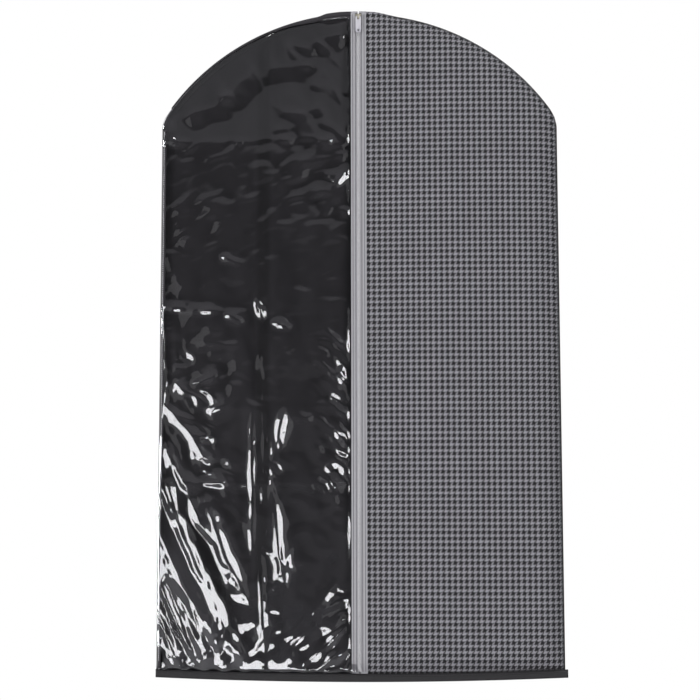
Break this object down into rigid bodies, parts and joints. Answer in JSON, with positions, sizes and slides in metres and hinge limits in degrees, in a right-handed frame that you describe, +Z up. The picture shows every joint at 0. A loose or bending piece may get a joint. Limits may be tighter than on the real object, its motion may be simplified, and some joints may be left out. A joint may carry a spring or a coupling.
{
  "type": "garment bag",
  "caption": "Hanging garment bag with a rounded shoulder line, a clear half and a checked half at the front, a centre coil zip and a bound hem.",
  "frame": {"origin": "in the gap at the top centre, where the hanger's hook comes out, 4 mm below the top of the front and back", "axes": "+X to the right of someone who faces the front, +Y towards the back, +Z up; the bag hangs down from the origin and its front faces -Y"},
  "size_m": [0.6046, 0.0219, 1.0009],
  "materials": {
    "black_nonwoven": "matt, spun-bonded",
    "clear_film": "clear, glossy",
    "houndstooth_nonwoven": "matt, printed small houndstooth check, light grey on black",
    "black_binding": "matt, woven tape",
    "black_thread": "matt",
    "zip_tape": "matt, ribbed weave",
    "zip_coil": "satin nylon",
    "zip_thread": "satin",
    "slider_metal": "satin, khaki grey",
    "pull_metal": "satin, pale lilac grey"
  },
  "bodies": {
    "bag": {"back_panel": "black_nonwoven", "front_left_film": "clear_film", "front_right_panel": "houndstooth_nonwoven", "hem_binding": "black_binding", "hem_thread": "black_thread", "seam_tape_left": "black_binding", "seam_tape_right": "black_binding", "seam_tape_top_left": "black_binding", "seam_tape_top_right": "black_binding", "seam_thread_left": "black_thread", "seam_thread_right": "black_thread", "seam_thread_top_left": "black_thread", "seam_thread_top_right": "black_thread", "zip_tape_left": "zip_tape", "zip_tape_right": "zip_tape", "zip_coil_left": "zip_coil", "zip_coil_right": "zip_coil", "coil_thread_left": "zip_thread", "coil_thread_right": "zip_thread", "zip_seam_thread_left": "zip_thread", "zip_seam_thread_right": "zip_thread", "top_tack_left": "zip_thread", "top_tack_right": "zip_thread"},
    "slider": {"slider_body": "slider_metal"},
    "pull": {"pull_tab": "pull_metal"}
  },
  "joints": [
    {"name": "slider_travel", "type": "slide", "parent": "bag", "child": "slider", "axis": [0, 0, -1], "range_m": [0, 0.945]},
    {"name": "pull_tab_swing", "type": "hinge", "parent": "slider", "child": "pull", "pos_m": [0, -0.0122, -0.0058], "axis": [-1, 0, 0], "range_deg": [0, 175]}
  ]
}
